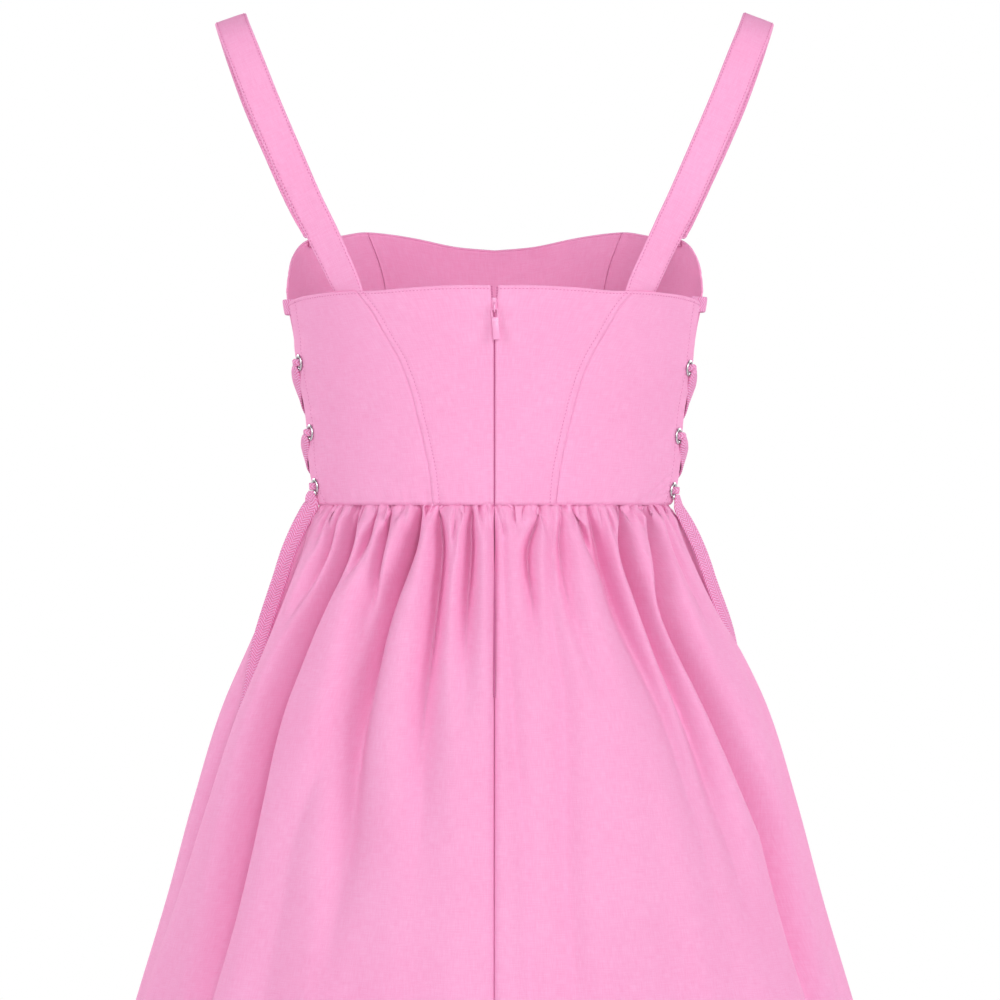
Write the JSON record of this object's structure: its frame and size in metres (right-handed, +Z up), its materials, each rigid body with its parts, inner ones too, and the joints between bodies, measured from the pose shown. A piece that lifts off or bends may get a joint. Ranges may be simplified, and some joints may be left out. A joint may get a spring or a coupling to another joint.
{
  "type": "dress with shoulder straps and laced sides",
  "caption": "Sleeveless cotton dress filled out as when worn: wide straps, fitted bodice with laced open sides, back zip and gathered flared skirt.",
  "frame": {"origin": "midway between the crests of the two shoulder straps, at the height of their undersides, where the wearer's shoulders hold the dress", "axes": "+Z up; the front faces -Y and the zipped back faces +Y; the wearer's left is +X"},
  "size_m": [0.6276, 0.4448, 0.9121],
  "materials": {
    "pink_cotton": "plain-weave pink cotton, matte",
    "pink_tape": "braided flat cotton tape, matte",
    "silver_metal": "bright nickel-plated metal",
    "pink_enamel": "enamelled to match the cloth"
  },
  "bodies": {
    "dress": {"back_centre_left": "pink_cotton", "back_side_left": "pink_cotton", "front_side_left": "pink_cotton", "back_centre_right": "pink_cotton", "back_side_right": "pink_cotton", "front_side_right": "pink_cotton", "front_centre": "pink_cotton", "strap_left": "pink_cotton", "strap_right": "pink_cotton", "skirt_back_left": "pink_cotton", "skirt_back_right": "pink_cotton", "skirt_front": "pink_cotton", "eyelet_back_left_1": "silver_metal", "eyelet_back_left_2": "silver_metal", "eyelet_back_left_3": "silver_metal", "eyelet_back_right_1": "silver_metal", "eyelet_back_right_2": "silver_metal", "eyelet_back_right_3": "silver_metal", "eyelet_front_left_1": "silver_metal", "eyelet_front_left_2": "silver_metal", "eyelet_front_left_3": "silver_metal", "eyelet_front_right_1": "silver_metal", "eyelet_front_right_2": "silver_metal", "eyelet_front_right_3": "silver_metal", "lace_bar_left": "pink_tape", "lace_left_a": "pink_tape", "lace_left_b": "pink_tape", "tail_back_left": "pink_tape", "tail_front_left": "pink_tape", "lace_bar_right": "pink_tape", "lace_right_a": "pink_tape", "lace_right_b": "pink_tape", "tail_back_right": "pink_tape", "tail_front_right": "pink_tape", "zip_tape_left": "pink_tape", "zip_tape_right": "pink_tape", "zip_slider": "pink_enamel"},
    "pull_tab": {"zip_pull": "pink_enamel"}
  },
  "joints": [
    {"name": "pull_tab_swing", "type": "hinge", "parent": "dress", "child": "pull_tab", "pos_m": [0, 0.09571, -0.2177], "axis": [1, 0, 0], "range_deg": [0, 170]}
  ]
}
